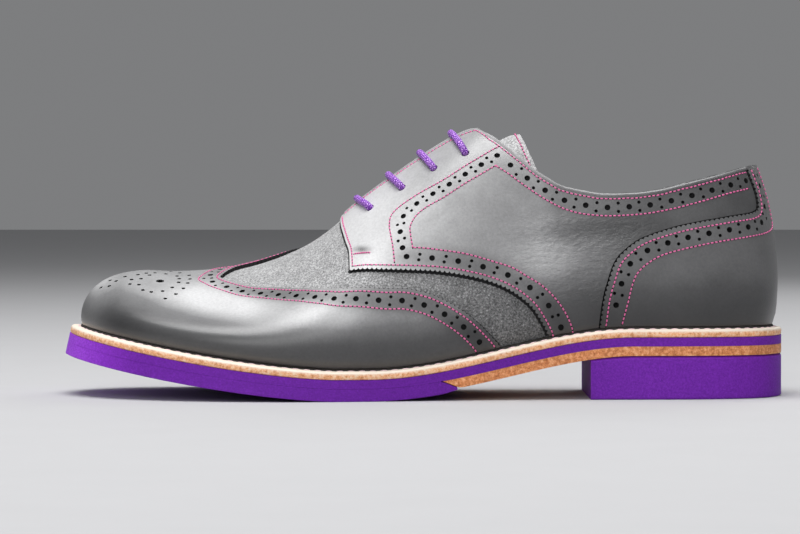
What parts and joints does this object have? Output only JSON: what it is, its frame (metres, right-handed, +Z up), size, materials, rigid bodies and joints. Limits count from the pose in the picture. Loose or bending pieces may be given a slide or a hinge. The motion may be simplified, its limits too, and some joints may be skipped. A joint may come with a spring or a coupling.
{
  "type": "wingtip shoe",
  "caption": "Left full-brogue wingtip derby with open lacing, hollow upper, stitched welt, layered sole and block heel.",
  "frame": {"origin": "on the floor, under the middle of the shoe's bounding box", "axes": "+X from toe to heel, +Y toward the inner side of the foot, +Z up from the floor"},
  "size_m": [0.3022, 0.107, 0.1126],
  "materials": {
    "sole_rubber": "fine-textured purple rubber",
    "welt_tan": "mottled tan, waxed edge",
    "insole_leather": "matt",
    "leather_grey": "smooth, burnished at toe and heel",
    "suede_grey": "napped suede",
    "lace_purple": "round waxed cord",
    "thread_pink": "twisted stitching thread",
    "lining_grey": "matt lining leather"
  },
  "bodies": {
    "root": {"outsole": "sole_rubber", "rear_midsole": "welt_tan", "midsole": "sole_rubber", "welt": "welt_tan", "heel": "sole_rubber", "insole": "insole_leather", "upper": "suede_grey", "wing_cap": "leather_grey", "quarter_outer": "leather_grey", "quarter_inner": "leather_grey", "heel_counter": "leather_grey", "tongue": "suede_grey", "lace_1": "lace_purple", "lace_2": "lace_purple", "lace_3": "lace_purple", "lace_4": "lace_purple"}
  },
  "joints": []
}
